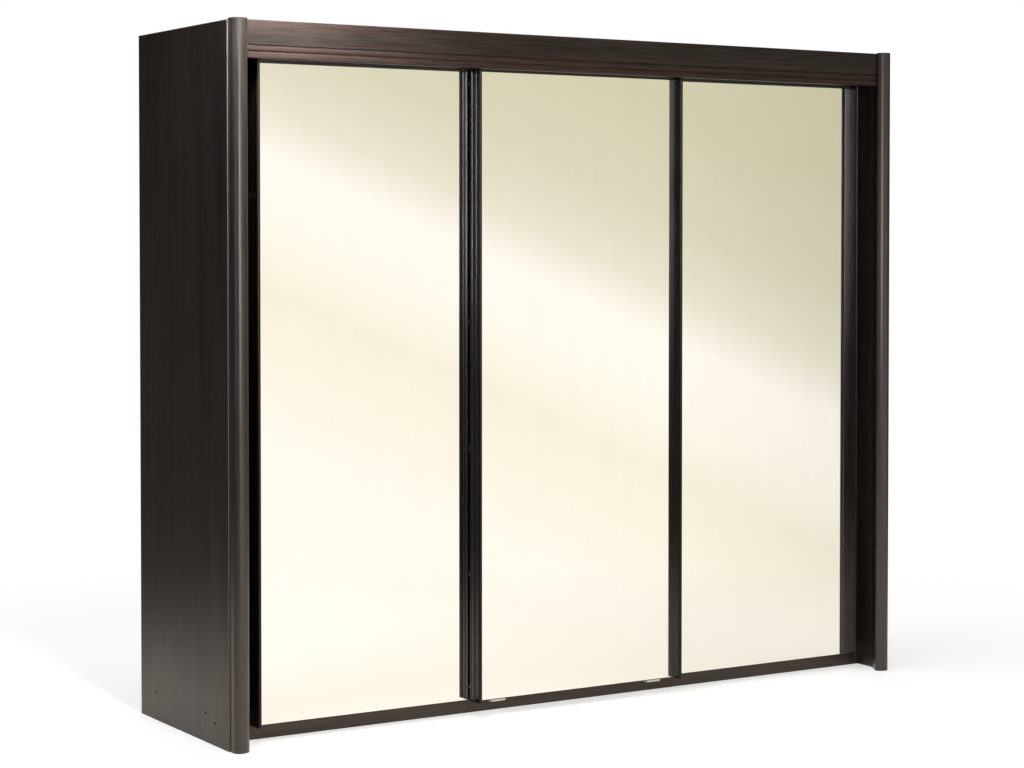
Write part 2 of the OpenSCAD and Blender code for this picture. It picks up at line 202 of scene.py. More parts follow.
def chipboard():
    """Raw pressed chips, as on the back edges of the boards."""
    material, tree, shader = new_material("raw chipboard")
    place = add(tree, "TexCoord").outputs["Object"]
    chips = add(tree, "TexVoronoi", {"Vector": place, "Scale": 420.0})
    fine = shift_noise(tree, 900.0, (1.0, 1.0, 1.0), 0.4, 3.0, 0.6)
    tone = ramp(
        tree,
        chips.outputs["Color"],
        [(0.15, (0.13, 0.08, 0.045)), (0.5, (0.33, 0.22, 0.13)), (0.85, (0.46, 0.34, 0.21))],
    )
    speckle = ramp(tree, fine, [(0.35, grey(0.6)), (0.6, grey(1.0))])
    speckled = blend_colours(tree, 1.0, tone, speckle, "MULTIPLY")
    tree.links.new(speckled, shader.inputs["Base Color"])
    shader.inputs["Roughness"].default_value = 0.85
    bump(tree, shader, chips.outputs["Distance"], 0.5, 0.0004)
    return material


def hardboard():
    """Pressed fibre sheet: soft brown clouds and short fibres."""
    material, tree, shader = new_material("hardboard")
    clouds = shift_noise(tree, 6.0, (1.0, 1.0, 1.0), 1.1, 4.0, 0.6)
    fibres = shift_noise(tree, 260.0, (1.0, 1.0, 0.35), 2.2, 4.0, 0.65, 0.6)
    tone = ramp(tree, clouds, [(0.3, (0.115, 0.068, 0.04)), (0.7, (0.17, 0.105, 0.064))])
    fleck = ramp(tree, fibres, [(0.3, grey(0.6)), (0.5, grey(1.0)), (0.72, grey(1.35))])
    tree.links.new(blend_colours(tree, 1.0, tone, fleck, "MULTIPLY"), shader.inputs["Base Color"])
    tree.links.new(span(tree, fibres, 0.55, 0.8), shader.inputs["Roughness"])
    bump(tree, shader, fibres, 0.5, 0.00025)
    return material


def mirror_front():
    """Silvered float glass: a very slight warm tint and the faintest waviness."""
    material, tree, shader = new_material("silvered glass")
    waves = shift_noise(tree, 3.2, (1.0, 1.0, 0.35), 4.0, 2.0, 0.45)
    haze = shift_noise(tree, 22.0, (1.0, 1.0, 0.25), 6.0, 4.0, 0.6)
    tone = ramp(tree, haze, [(0.3, (0.925, 0.925, 0.905)), (0.7, (0.945, 0.945, 0.93))])
    tree.links.new(tone, shader.inputs["Base Color"])
    shader.inputs["Metallic"].default_value = 1.0
    tree.links.new(span(tree, haze, 0.006, 0.022), shader.inputs["Roughness"])
    bump(tree, shader, waves, 0.1, 0.00025)
    return material


def glass_edge():
    """The ground green edge of the glass, which also serves as the paint behind its silver."""
    material, tree, shader = new_material("ground glass edge")
    frost = shift_noise(tree, 500.0, (1.0, 1.0, 1.0), 2.0, 3.0, 0.6)
    tone = ramp(tree, frost, [(0.3, (0.05, 0.10, 0.085)), (0.7, (0.11, 0.19, 0.165))])
    tree.links.new(tone, shader.inputs["Base Color"])
    tree.links.new(span(tree, frost, 0.25, 0.5), shader.inputs["Roughness"])
    bump(tree, shader, frost, 0.3, 0.00004)
    return material


FOIL = wenge("foil wrapped moulding, upright", "z", 2.0, 0.9, 0.33, 1.6, 0.8, 0.75)
FOIL_ACROSS = wenge("foil wrapped moulding, level", "x", 3.0, 0.93, 0.36, 1.6, 0.8, 0.12)
# The strips' foil is the same wenge made five times darker than the posts': painted shade for the strips' dim
# sides.
SHADED_STRIP_FOIL = wenge("foil wrapped strip, darkened for shade", "z", 5.0, 0.2, 0.24, 1.3, 0.6, 0.28)
CHIP = chipboard()
FIBRE = hardboard()
# The pale band is a painted highlight: it stands for the bright line along the side panels' front edges.
EDGE_HIGHLIGHT = moulded("pale edge band, painted highlight", (0.14, 0.13, 0.12), 0.4, 0.2, 9.0)
MIRROR = mirror_front()
EDGE = glass_edge()
CHROME = metal("chrome", (0.78, 0.78, 0.79), 0.12, (1.0, 1.0, 1.0))
ZINC = metal("zinc plate", (0.56, 0.57, 0.59), 0.34, (1.0, 1.0, 0.2), 1.0)
TRACK = metal("drawn aluminium", (0.66, 0.66, 0.67), 0.30, (0.01, 1.0, 1.0), 2.0, 900.0, 0.00004)
NYLON = moulded("nylon", (0.56, 0.53, 0.46), 0.42)
CAP = moulded("cap plastic", (0.16, 0.135, 0.115), 0.45, 0.2, 3.0)
RUBBER = moulded("rubber", (0.022, 0.022, 0.022), 0.75, 0.3, 5.0)
DARK = moulded("dark extrusion", (0.022, 0.020, 0.018), 0.42, 0.25, 7.0)


# ---- Shapes ----


def arc(cx, cy, r, start, end, steps):
    """Points of an arc, with its angles in degrees."""
    turns = (math.radians(start + (end - start) * i / steps) for i in range(steps + 1))
    return [(cx + r * math.cos(a), cy + r * math.sin(a)) for a in turns]


PLACE = {
    "x": lambda u, v, t: (t, u, v),
    "y": lambda u, v, t: (u, t, v),
    "z": lambda u, v, t: (u, v, t),
}


def sweep(bm, outline, low, high, axis):
    """A closed solid: an outline square to the axis, drawn from low to high."""
    rings = [[bm.verts.new(PLACE[axis](u, v, t)) for u, v in outline] for t in (low, high)]
    faces = [bm.faces.new(rings[0]), bm.faces.new(rings[1])]
    for i in range(len(outline)):
        j = (i + 1) % len(outline)
        faces.append(bm.faces.new((rings[0][i], rings[0][j], rings[1][j], rings[1][i])))
    bmesh.ops.recalc_face_normals(bm, faces=faces)
    return faces


def brick(bm, low, high):
    """A box between two corners."""
    outline = [(low[0], low[1]), (high[0], low[1]), (high[0], high[1]), (low[0], high[1])]
    return sweep(bm, outline, low[2], high[2], "z")


def aim(direction):
    """The turn that takes +Z to a direction."""
    return Vector((0, 0, 1)).rotation_difference(Vector(direction)).to_matrix().to_4x4()


def lathe(bm, profile, centre, direction, sides=32):
    """A solid turned round an axis: profile is (radius, height) from the axis out and back."""
    matrix = Matrix.Translation(centre) @ aim(direction)
    rings, faces = [], []
    for radius, height in profile:
        if radius < 1e-7:
            rings.append([bm.verts.new(matrix @ Vector((0, 0, height)))])
        else:
            round_points = arc(0, 0, radius, 0, 360, sides)[:-1]
            rings.append([bm.verts.new(matrix @ Vector((u, v, height))) for u, v in round_points])
    closed = profile[0][0] > 1e-7
    pairs = list(zip(rings, rings[1:] + rings[:1])) if closed else list(zip(rings, rings[1:]))
    for a, b in pairs:
        for i in range(sides):
            j = (i + 1) % sides
            if len(a) == 1:
                corners = (a[0], b[j], b[i])
            elif len(b) == 1:
                corners = (a[i], a[j], b[0])
            else:
                corners = (a[i], a[j], b[j], b[i])
            faces.append(bm.faces.new(corners))
    bmesh.ops.recalc_face_normals(bm, faces=faces)
    return faces


def crossed_head(bm, centre, direction, radius, height, drive="cross", sides=24):
    """A screw head: a dome with a sunk cross, or with a sunk round socket."""
    matrix = Matrix.Translation(centre) @ aim(direction)
    steps = 9
    rings = []
    for k in range(steps + 1):
        r = radius * k / steps
        ring = []
        for i in range(sides if k else 1):
            a = 2 * math.pi * i / sides
            u, v = r * math.cos(a), r * math.sin(a)
            z = height * math.sqrt(max(0.0, 1 - (k / steps) ** 2 * 0.92))
            arm = radius * 0.17
            reach = radius * 0.62
            if drive == "cross" and min(abs(u), abs(v)) < arm and r < reach:
                z -= height * 0.75 * (1 - 0.5 * r / reach)
            if drive == "socket" and r < radius * 0.52:
                z -= height * 0.8
            ring.append(bm.verts.new(matrix @ Vector((u, v, z))))
        rings.append(ring)
    base = [bm.verts.new(matrix @ Vector((u, v, 0))) for u, v in arc(0, 0, radius, 0, 360, sides)[:-1]]
    rings.append(base)
    faces = []
    for i in range(sides):
        j = (i + 1) % sides
        faces.append(bm.faces.new((rings[0][0], rings[1][i], rings[1][j])))
        for a, b in zip(rings[1:], rings[2:]):
            faces.append(bm.faces.new((a[i], b[i], b[j], a[j])))
    faces.append(bm.faces.new(list(reversed(base))))
    bmesh.ops.recalc_face_normals(bm, faces=faces)


def cad_copy(node):
    """The CAD solid with its seams welded and its flat faces whole."""
    bm = bmesh.new()
    bm.from_mesh(frame["nodes"][node].data)
    bmesh.ops.remove_doubles(bm, verts=bm.verts, dist=2e-6)
    bmesh.ops.dissolve_limit(bm, angle_limit=math.radians(0.5), verts=bm.verts, edges=bm.edges)
    return bm


def ease_edges(bm, width, segments, crease):
    """Rounds every edge that turns more than the crease angle."""
    bm.normal_update()
    sharp = [e for e in bm.edges if e.calc_face_angle(0.0) > math.radians(crease)]
    bmesh.ops.bevel(
        bm,
        geom=sharp,
        offset=width,
        offset_type="OFFSET",
        segments=segments,
        profile=0.5,
        affect="EDGES",
        clamp_overlap=True,
        material=-1,
    )


def piece(name, bm, materials, nodes, edge=0.0, segments=2, crease=35.0, smooth=16.0):
    """One finished piece that stands for CAD nodes: smooth faces, eased edges, its materials and its body."""
    if edge:
        ease_edges(bm, edge, segments, crease)
    mesh = bpy.data.meshes.new(name)
    bm.to_mesh(mesh)
    bm.free()
    for material in materials:
        mesh.materials.append(material)
    obj = bpy.data.objects.new(name, mesh)
    bpy.context.scene.collection.objects.link(obj)
    mesh.polygons.foreach_set("use_smooth", [True] * len(mesh.polygons))
    mesh.set_sharp_from_angle(angle=math.radians(smooth))
    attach(obj, NODE_BODY[nodes[0]])
    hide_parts(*nodes)
    return obj


def paint_faces(bm, chooser):
    """Sets each face's material by its normal and middle."""
    bm.normal_update()
    for face in bm.faces:
        face.material_index = chooser(face.normal, face.calc_center_median())


# ---- Carcase ----

BOARDS = {
    "left_side_panel": "z",
    "right_side_panel": "z",
    "left_partition": "z",
    "right_partition": "z",
    "top_panel": "x",
    "bottom_panel": "x",
    "front_plinth": "x",
    "rear_plinth": "x",
    "left_top_shelf": "x",
    "right_top_shelf": "x",
    "middle_shelf_1": "x",
    "middle_shelf_2": "x",
    "middle_shelf_3": "x",
    "middle_shelf_4": "x",
    "left_door_board": "z",
    "middle_door_board": "z",
    "right_door_board": "z",
}


def edge_chooser(node):
    """Back edges are raw chipboard, and the side panels' front edges get a pale band: a painted highlight
    along the edge.
    """
    front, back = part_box(node)[0][1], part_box(node)[1][1]
    highlit_front = node.endswith("side_panel")

    def choose(normal, middle):
        if normal.y > 0.9 and middle.y > back - 0.0005:
            return 1
        return 2 if highlit_front and normal.y < -0.9 and middle.y < front + 0.0005 else 0

    return choose


def make_boards():
    for seed, (node, axis) in enumerate(BOARDS.items()):
        bm = cad_copy(node)
        if not node.endswith("door_board"):
            paint_faces(bm, edge_chooser(node))
        surface = wenge(f"wenge laminate {seed + 1}", axis, 11.0 + seed * 1.93)
        edge = 0.0009 if node.endswith("side_panel") else 0.0006
        piece(node + "_laminated", bm, [surface, CHIP, EDGE_HIGHLIGHT], [node], edge)


# A front post from above: out from the panel's face, and back from the panel's front edge.
POST_WIDTH = 49 * MM
POST_STEP = 3 * MM
POST_NOSE_R = 20 * MM
POST_SHOULDER = 25 * MM
POST_CORNER = (POST_WIDTH, -22 * MM)
POST_WAIST = (POST_WIDTH - 9 * MM, -6 * MM)
POST_HEEL = (16 * MM, 33 * MM)


def post_outline(proud):
    """A front post's section, from the corner where it meets the panel's front edge."""
    nose_x = POST_STEP + POST_NOSE_R
    rise = proud - POST_SHOULDER
    run = POST_WIDTH - nose_x
    crown_r = (run * run + rise * rise) / (2 * rise)
    crown_end = 270 + math.degrees(math.asin(run / crown_r))
    return (
        [(POST_STEP, 0.0)]
        + arc(nose_x, POST_NOSE_R - proud, POST_NOSE_R, 180, 270, 24)
        + arc(nose_x, crown_r - proud, crown_r, 273.75, crown_end, 15)
        + [POST_CORNER, POST_WAIST, POST_HEEL, (POST_HEEL[0], 0.0)]
    )


def make_posts():
    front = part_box("left_side_panel")[0][1]
    for side, name in ((-1, "left_front_post"), (1, "right_front_post")):
        low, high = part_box(name)
        outline = post_outline(front - low[1])
        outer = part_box(name.replace("front_post", "side_panel"))[0 if side < 0 else 1][0]
        bm = bmesh.new()
        sweep(bm, [(outer - side * u, front + v) for u, v in outline], low[2], high[2], "z")
        piece(name + "_moulding", bm, [FOIL], [name], 0.0007, 3)


def cornice_outline(front, base, top):
    """The cornice's section as (y, z): a bulging band over two grooves, and an eased top edge."""
    face = front - 14 * MM
    band = top - 66 * MM
    bulge = 4 * MM
    swell = [(face - bulge * math.sin(math.pi * i / 28), top - 66 * MM * i / 28) for i in range(1, 28)]
    return (
        [(front + 4 * MM, base), (front + 4 * MM, top), (face + 2 * MM, top)]
        + swell
        + [(face, band), (face + 1.4 * MM, band - 0.8 * MM), (face + 3 * MM, band - 2.5 * MM)]
        + [(face + 1.4 * MM, band - 4.2 * MM), (face, band - 5 * MM)]
        + [(face - 0.8 * MM, base + 29 * MM), (face - 1 * MM, base + 26 * MM)]
        + [(face - 0.6 * MM, base + 22.5 * MM), (face, base + 21 * MM)]
        + [(face + 1.6 * MM, base + 19.5 * MM), (face + 3 * MM, base + 17.5 * MM)]
        + [(face + 1.6 * MM, base + 15.5 * MM), (face, base + 14 * MM), (face - 0.5 * MM, base + 8 * MM)]
        + [(face, base + 2 * MM), (face + 2 * MM, base)]
    )


def post_side(behind):
    """How far a post's inner side stands from the panel's face, at a distance behind its front edge."""
    near, far = POST_WAIST, POST_CORNER if behind < POST_WAIST[1] else POST_HEEL
    across = near[0] + (far[0] - near[0]) * (behind - near[1]) / (far[1] - near[1])
    return min(POST_WIDTH, across)


def make_cornice():
    low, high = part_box("cornice_board")
    outer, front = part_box("left_side_panel")[0][:2]
    bm = bmesh.new()
    sweep(bm, cornice_outline(front, low[2], high[2]), -1, 1, "x")
    for corner in bm.verts:
        corner.co.x *= -outer - post_side(corner.co.y - front)
    piece("cornice_board_moulding", bm, [FOIL_ACROSS], ["cornice_board"], 0.0004)


def make_backs():
    for node in ("back_panel_left", "back_panel_middle", "back_panel_right"):
        piece(node + "_sheet", cad_copy(node), [FIBRE], [node], 0.0003)


# ---- Fixings and fittings of the carcase ----


def islands(node):
    """The lowest and highest corner of each separate solid in a CAD node."""
    bm = cad_copy(node)
    found, left = [], set(bm.verts)
    while left:
        grown, edge = set(), [left.pop()]
        while edge:
            vertex = edge.pop()
            grown.add(vertex)
            near = {e.other_vert(vertex) for e in vertex.link_edges} - grown
            edge.extend(near - set(edge))
        left -= grown
        corners = [v.co for v in grown]
        found.append(tuple(Vector(pick(c[i] for c in corners) for i in range(3)) for pick in (min, max)))
    bm.free()
    return sorted(found, key=lambda box: tuple(round(c, 4) for c in box[0]))


def middle(box):
    return (box[0] + box[1]) / 2


def make_nails():
    bm = bmesh.new()
    for box in islands("back_nails"):
        centre, back = middle(box), box[1][1]
        lathe(
            bm,
            [(0, -14.5 * MM), (0.8 * MM, -13 * MM), (0.8 * MM, -0.8 * MM), (2.5 * MM, -0.8 * MM)]
            + [(2.5 * MM, -0.5 * MM), (1.9 * MM, -0.12 * MM), (0.9 * MM, 0), (0, 0)],
            (centre.x, back, centre.z),
            (0, 1, 0),
            16,
        )
    piece("back_nails_domed", bm, [ZINC], ["back_nails"])


def make_panel_screws():
    bm = bmesh.new()
    for box in islands("panel_screws"):
        centre = middle(box)
        side = math.copysign(1, centre.x)
        size = box[1] - box[0]
        thin = size.x < 40 * MM
        shank = 1.5 * MM if thin else 2.5 * MM
        seat = side * (max(abs(box[0].x), abs(box[1].x)) - 2.4 * MM)
        crossed_head(bm, (seat, centre.y, centre.z), (side, 0, 0), 4 * MM, 2.3 * MM, "socket")
        thread = []
        turns = int((size.x - 3 * MM) / (1.5 * MM))
        for i in range(turns):
            thread += [(shank, i * 1.5 * MM), (shank * 0.8, (i + 0.5) * 1.5 * MM)]
        lathe(
            bm,
            [(0, 0)] + thread + [(0, size.x - 2.4 * MM)],
            (seat, centre.y, centre.z),
            (-side, 0, 0),
            16,
        )
    piece("panel_screws_driven", bm, [ZINC], ["panel_screws"], smooth=50)


def make_caps():
    bm = bmesh.new()
    r = 4.1 * MM
    for box in islands("screw_caps"):
        centre = middle(box)
        side = math.copysign(1, centre.x)
        inner = side * min(abs(box[0].x), abs(box[1].x))
        lathe(
            bm,
            [(0, 0), (r, 0), (r, 1.7 * MM), (r - 0.3 * MM, 2.0 * MM), (r - 1 * MM, 2.1 * MM), (0, 2.2 * MM)],
            (inner, centre.y, centre.z),
            (side, 0, 0),
        )
    piece("screw_caps_moulded", bm, [CAP], ["screw_caps"], smooth=50)


def make_shelf_pins():
    bm = bmesh.new()
    for box in islands("shelf_pins"):
        centre = middle(box)
        r = 2.5 * MM
        length = box[1].x - box[0].x
        lathe(
            bm,
            [(0, 0), (r - 0.5 * MM, 0), (r, 0.5 * MM), (r, length / 2 - 0.4 * MM), (r - 0.3 * MM, length / 2)]
            + [(r, length / 2 + 0.4 * MM), (r, length - 0.5 * MM), (r - 0.5 * MM, length), (0, length)],
            (box[0].x, centre.y, centre.z),
            (1, 0, 0),
            20,
        )
    piece("shelf_pins_turned", bm, [ZINC], ["shelf_pins"])


def make_rails():
    for node in ("left_hanging_rail", "right_hanging_rail"):
        low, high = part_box(node)
        r, wall, ease = (high.z - low.z) / 2, 1.5 * MM, 0.3 * MM
        length = high.x - low.x
        bm = bmesh.new()
        lathe(
            bm,
            [(r - wall, ease), (r - wall + ease, 0), (r - ease, 0), (r, ease), (r, length - ease)]
            + [(r - ease, length), (r - wall + ease, length), (r - wall, length - ease)],
            (low.x, (low.y + high.y) / 2, (low.z + high.z) / 2),
            (1, 0, 0),
            64,
        )
        piece(node + "_tube", bm, [CHROME], [node])


# Rail sockets further out than this are on the side panels, and the others on the partitions.
SOCKETS_APART = 0.7


def make_sockets():
    bm = bmesh.new()
    for box in islands("rail_sockets"):
        centre = middle(box)
        r = 12.5 * MM + 0.05 * MM
        on_side_panel = abs(centre.x) > SOCKETS_APART
        toward = -math.copysign(1, centre.x) if on_side_panel else math.copysign(1, centre.x)
        start = box[0].x if toward > 0 else box[1].x
        lathe(
            bm,
            [(0, 0), (20.5 * MM, 0), (20.5 * MM, 0.6 * MM), (20.0 * MM, 0.9 * MM), (16.4 * MM, 0.9 * MM)]
            + [(15.5 * MM, 1.8 * MM), (15.5 * MM, 11.5 * MM), (15.1 * MM, 12 * MM), (r + 0.4 * MM, 12 * MM)]
            + [(r, 11.6 * MM), (r, 0.9 * MM), (0, 0.9 * MM)],
            (start, centre.y, centre.z),
            (toward, 0, 0),
            48,
        )
        for turn in (90, 270):
            place = Vector((start + toward * 0.9 * MM, centre.y, centre.z))
            place.y += 18 * MM * math.cos(math.radians(turn))
            place.z += 18 * MM * math.sin(math.radians(turn))
            crossed_head(bm, place, (toward, 0, 0), 2.2 * MM, 1.0 * MM)
    piece("rail_sockets_cast", bm, [CHROME], ["rail_sockets"], smooth=40)


def make_brackets():
    bm = cad_copy("cornice_brackets")
    for box in islands("cornice_brackets"):
        centre = middle(box)
        for along in (10 * MM, 21 * MM):
            place = (centre.x, box[0].y + along, box[0].z + 2 * MM)
            crossed_head(bm, place, (0, 0, 1), 3.4 * MM, 1.7 * MM)
        place = (centre.x, box[0].y + 2 * MM, box[0].z + 12 * MM)
        crossed_head(bm, place, (0, 1, 0), 3.4 * MM, 1.7 * MM)
    piece("cornice_brackets_pressed", bm, [ZINC], ["cornice_brackets"], 0.0003)


def make_tracks():
    piece("top_track_drawn", cad_copy("top_track"), [TRACK], ["top_track"], 0.0003)
    piece("bottom_guide_rail_drawn", cad_copy("bottom_guide_rail"), [DARK], ["bottom_guide_rail"], 0.0003)
    piece("track_stops_moulded", cad_copy("track_stops"), [RUBBER], ["track_stops"], 0.0012, 3)


# ---- Doors ----

DOORS = ("left", "middle", "right")


def make_mirrors():
    """Glass with ground edges: silvered in front and grey-green behind."""
    for door in DOORS:
        node = door + "_mirror"
        bm = bmesh.new()
        brick(bm, *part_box(node))
        paint_faces(bm, lambda normal, centre: 0 if normal.y < -0.9 else 1)
        piece(node + "_pane", bm, [MIRROR, EDGE], [node], 0.0006, 1)


def strip_outline():
    """A handle strip from above, out from the door's edge and back from its mirror's face."""
    grip, proud, sandwich, fit, back = 12 * MM, 31 * MM, 20 * MM, 0.3 * MM, 22 * MM
    nose = grip / 2
    return (
        [(0, back), (0, 12 * MM), (0.8 * MM, 11.4 * MM), (0.8 * MM, 10.6 * MM), (0, 10 * MM), (0, -5 * MM)]
        + [(0.9 * MM, -5.8 * MM), (2.0 * MM, -7.2 * MM), (2.5 * MM, -9 * MM), (2.0 * MM, -10.8 * MM)]
        + [(0.9 * MM, -12.2 * MM), (0, -13 * MM)]
        + arc(nose, nose - proud, nose, 180, 360, 28)
        + [(grip, -fit), (2 * MM, -fit), (2 * MM, sandwich + fit), (18 * MM, sandwich + fit), (18 * MM, back)]
    )


STRIPS = {
    "left_handle_strip": (-1, "left"),
    "middle_left_handle_strip": (-1, "middle"),
    "middle_right_handle_strip": (1, "middle"),
    "right_handle_strip": (1, "right"),
}


def make_strips():
    for node, (side, door) in STRIPS.items():
        low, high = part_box(node)
        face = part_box(door + "_mirror")[0].y
        edge = low.x if side < 0 else high.x
        bm = bmesh.new()
        sweep(bm, [(edge - side * u, face + v) for u, v in strip_outline()], low.z, high.z, "z")
        piece(node + "_wrapped", bm, [SHADED_STRIP_FOIL], [node], 0.0003, 2, 40.0)


def make_top_strips():
    for seed, door in enumerate(DOORS):
        node = door + "_top_strip"
        surface = wenge(f"wenge edge strip {seed + 1}", "x", 41.0 + seed, 1.1, 0.4)
        piece(node + "_edged", cad_copy(node), [surface], [node], 0.0004)


def make_strip_screws():
    for door in DOORS:
        node = door + "_strip_screws"
        bm = bmesh.new()
        for box in islands(node):
            centre = middle(box)
            seat = box[1].y - 1.8 * MM
            crossed_head(bm, (centre.x, seat, centre.z), (0, 1, 0), 3.5 * MM, 1.8 * MM)
            lathe(
                bm,
                [(0, 13 * MM), (1.2 * MM, 11 * MM), (1.75 * MM, 9.5 * MM), (1.75 * MM, 0), (0, 0)],
                (centre.x, seat, centre.z),
                (0, -1, 0),
                16,
            )
        piece(node + "_driven", bm, [CHROME], [node], smooth=50)


def make_hangers():
    """A pressed foot with two screws, a stem with a round head and a riveted axle."""
    for door in DOORS:
        node = door + "_hangers"
        bm = bmesh.new()
        for box in islands(node):
            low, high = box
            centre = middle(box)
            axle_z = high.z - 10 * MM
            foot = [(centre.x + u, centre.y + v) for u, v in rounded(35 * MM, 6 * MM, 2.5 * MM)]
            sweep(bm, foot, low.z, low.z + 2.5 * MM, "z")
            outline = [(centre.x - 10 * MM, low.z + 2.5 * MM), (centre.x + 10 * MM, low.z + 2.5 * MM)]
            outline += arc(centre.x, axle_z, 10 * MM, 0, 180, 24)
            sweep(bm, outline, centre.y - 1.5 * MM, centre.y + 1.5 * MM, "y")
            reach = (high.y - low.y) / 2
            lathe(
                bm,
                [(0, -reach), (2.4 * MM, -reach), (3 * MM, 0.6 * MM - reach), (3 * MM, reach - 0.6 * MM)]
                + [(2.4 * MM, reach), (0, reach)],
                (centre.x, centre.y, axle_z),
                (0, 1, 0),
            )
            for side in (-1, 1):
                place = (centre.x + side * 25 * MM, centre.y, low.z + 2.5 * MM)
                crossed_head(bm, place, (0, 0, 1), 3.5 * MM, 1.8 * MM)
        piece(node + "_pressed", bm, [ZINC], [node], smooth=40)


def rounded(half_u, half_v, r):
    """A rectangle with round corners, about its middle."""
    points = []
    for su, sv, start in ((1, 1, 0), (-1, 1, 90), (-1, -1, 180), (1, -1, 270)):
        points += arc(su * (half_u - r), sv * (half_v - r), r, start, start + 90, 6)
    return points


ROLLERS = ("left_outer", "left_inner", "middle_left", "middle_right", "right_inner", "right_outer")
WEB_RADIUS = 7.4 * MM
WEB_STUDS = 5


def make_rollers():
    """Wheels with a crowned tread, a sunk web with small round studs and a hub."""
    for name in ROLLERS:
        node = name + "_rollers"
        bm = bmesh.new()
        for low, high in islands(node):
            r, bore, width = (high.z - low.z) / 2, 3.05 * MM, high.y - low.y
            centre = (low + high) / 2
            start = (centre.x, low.y, centre.z)
            face = [(bore, 0), (5.4 * MM, 0), (5.6 * MM, 0.9 * MM)]
            face += [(9.2 * MM, 0.9 * MM), (9.5 * MM, 0.2 * MM)]
            tread = [(r - 0.9 * MM, 0.2 * MM), (r - 0.25 * MM, 0.8 * MM), (r, width / 2)]
            tread += [(r - 0.25 * MM, width - 0.8 * MM), (r - 0.9 * MM, width - 0.2 * MM)]
            rear = [(u, width - v) for u, v in reversed(face)]
            lathe(bm, face + tread + rear, start, (0, 1, 0), 48)
            for x, z in arc(centre.x, centre.z, WEB_RADIUS, 0, 360, WEB_STUDS)[:-1]:
                for out, base in ((-1, 0.9 * MM), (1, width - 0.9 * MM)):
                    stud = [(0, 0), (1.1 * MM, 0), (0.8 * MM, 0.5 * MM), (0, 0.5 * MM)]
                    lathe(bm, stud, (x, low.y + base, z), (0, out, 0), 12)
        piece(node + "_turned", bm, [NYLON], [node], smooth=40)


def make_guides():
    for node in ("left_guides", "right_guides", "middle_shoes"):
        bm = cad_copy(node)
        if node != "middle_shoes":
            for box in islands(node):
                centre = middle(box)
                for side in (-1, 1):
                    place = (centre.x + side * 12 * MM, box[0].y + 2.5 * MM, box[1].z - 12 * MM)
                    crossed_head(bm, place, (0, 1, 0), 3 * MM, 1.5 * MM)
        piece(node + "_moulded", bm, [NYLON], [node], 0.0005)


make_boards()
make_posts()
make_cornice()
make_backs()
make_nails()
make_panel_screws()
make_caps()
make_shelf_pins()
make_rails()
make_sockets()
make_brackets()
make_tracks()
make_mirrors()
make_strips()
make_top_strips()
make_strip_screws()
make_hangers()
make_rollers()
make_guides()


# ---- Camera, light and stage ----


def make_camera():
    data = bpy.data.cameras.new("camera")
    data.lens = 81.16
    data.sensor_width = 36.0
    data.shift_y = -0.0829
    camera = bpy.data.objects.new("camera", data)
    camera.location = (-3.765, -5.926, 1.383)
    camera.rotation_euler = (math.radians(90 - 1.52), 0, math.radians(-31.88))
    bpy.context.scene.collection.objects.link(camera)
    bpy.context.scene.camera = camera


def math_node(tree, operation, a, b=0.0):
    return add(tree, "Math", {0: a, 1: b}, operation=operation).outputs[0]


def studio_wall(tree, dx, dy, dz):
    """A cream wall with a slanting band of light, by bearing and rise, dimmer to one side."""
    bearing = math_node(tree, "ARCTAN2", dx, math_node(tree, "MULTIPLY", dy, -1.0))
    rise = math_node(tree, "ARCSINE", dz)
    aside = math_node(tree, "SUBTRACT", bearing, math.radians(26))
    level = math_node(tree, "ADD", rise, math_node(tree, "MULTIPLY", aside, 0.46))
    limits = {"From Min": math.radians(-10), "From Max": math.radians(12)}
    place = add(tree, "MapRange", {"Value": level, **limits}).outputs["Result"]
    stops = [
        (0.0, srgb(255, 251, 245)),
        (0.22, srgb(255, 249, 238)),
        (0.32, srgb(250, 243, 226)),
        (0.395, srgb(246, 239, 221)),
        (0.45, srgb(252, 247, 232)),
        (0.50, srgb(255, 249, 240)),
        (0.545, srgb(255, 249, 240)),
        (0.60, srgb(234, 227, 208)),
        (0.68, srgb(220, 214, 189)),
        (0.80, srgb(212, 206, 178)),
        (1.0, srgb(208, 201, 173)),
    ]
    limits = {"From Min": math.radians(35.4), "From Max": math.radians(60)}
    fade = add(tree, "MapRange", {"Value": bearing, **limits, "To Min": 1.09, "To Max": 0.46})
    return blend_colours(tree, 1.0, ramp(tree, place, stops), fade.outputs["Result"], "MULTIPLY")


def studio_round(tree, dz):
    """The dim rest of the studio: dark at eye level, paler straight up and down."""
    upward = add(tree, "MapRange", {"Value": dz, "From Min": -1.0, "From Max": 1.0})
    levels = ((0.0, 0.3), (0.42, 0.09), (0.49, 0.08), (0.53, 0.03), (0.7, 0.06), (1.0, 0.35))
    stops = [(place, grey(level)) for place, level in levels]
    return ramp(tree, upward.outputs["Result"], stops)


def wall_share(tree, dx, dy):
    """1 towards the middle of the wall, and 0 away from it."""
    facing = math.radians(32)
    rightward = math_node(tree, "MULTIPLY", dx, math.sin(facing))
    frontward = math_node(tree, "MULTIPLY", dy, -math.cos(facing))
    ahead = math_node(tree, "ADD", rightward, frontward)
    limits = {"Value": ahead, "From Min": 0.55, "From Max": 0.93}
    return add(tree, "MapRange", limits, interpolation_type="SMOOTHSTEP").outputs["Result"]


